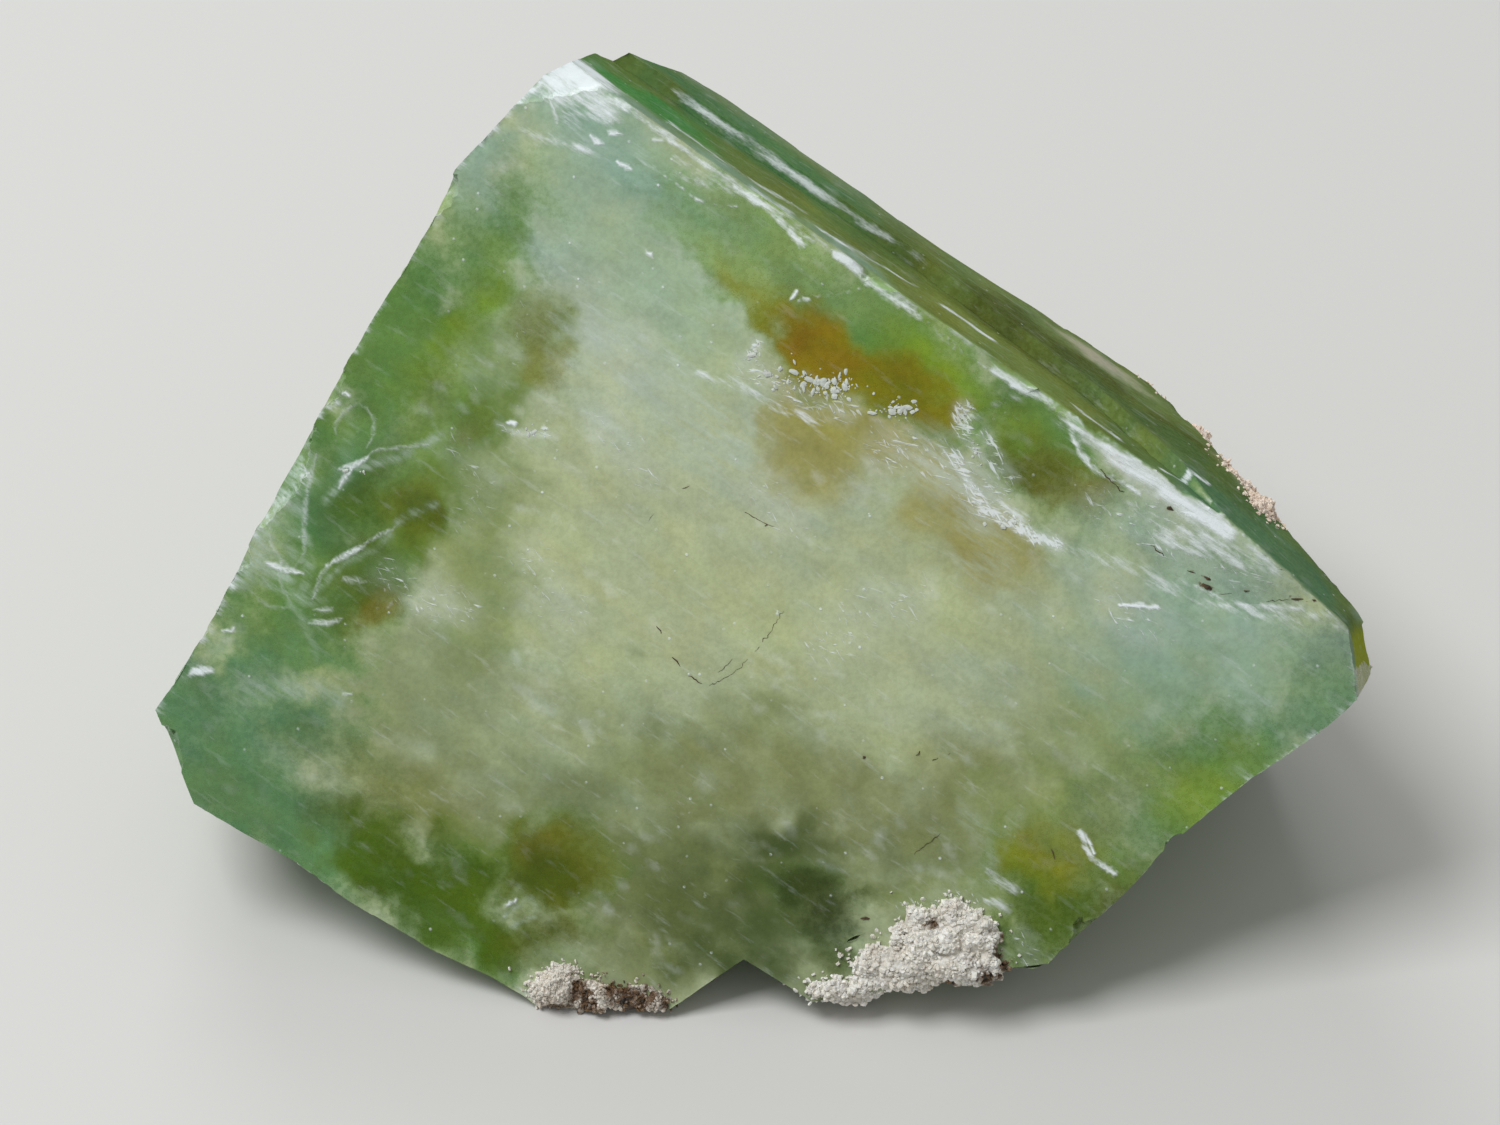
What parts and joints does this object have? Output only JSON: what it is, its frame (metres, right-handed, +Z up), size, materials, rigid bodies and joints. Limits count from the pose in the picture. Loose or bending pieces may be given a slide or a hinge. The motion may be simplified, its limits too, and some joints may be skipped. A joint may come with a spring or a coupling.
{
  "type": "apophyllite crystal with stilbite",
  "caption": "Broken blocky green apophyllite crystal with small crusts of white stilbite, resting on its flat broken base.",
  "frame": {"origin": "middle of the footprint's bounding box, on the ground under the flat base", "axes": "+Z up, out of the flat base; -Y is the side that the large front face leans towards; +X to the right as seen from there"},
  "size_m": [0.0504, 0.037, 0.0319],
  "materials": {
    "apophyllite": "translucent green, cloudy yellowish white within",
    "stilbite": "matt white to peach, small pearly blades"
  },
  "bodies": {
    "root": {"apophyllite_crystal": "apophyllite", "stilbite_front_right": "stilbite", "stilbite_front_left": "stilbite", "stilbite_back": "stilbite"}
  },
  "joints": []
}
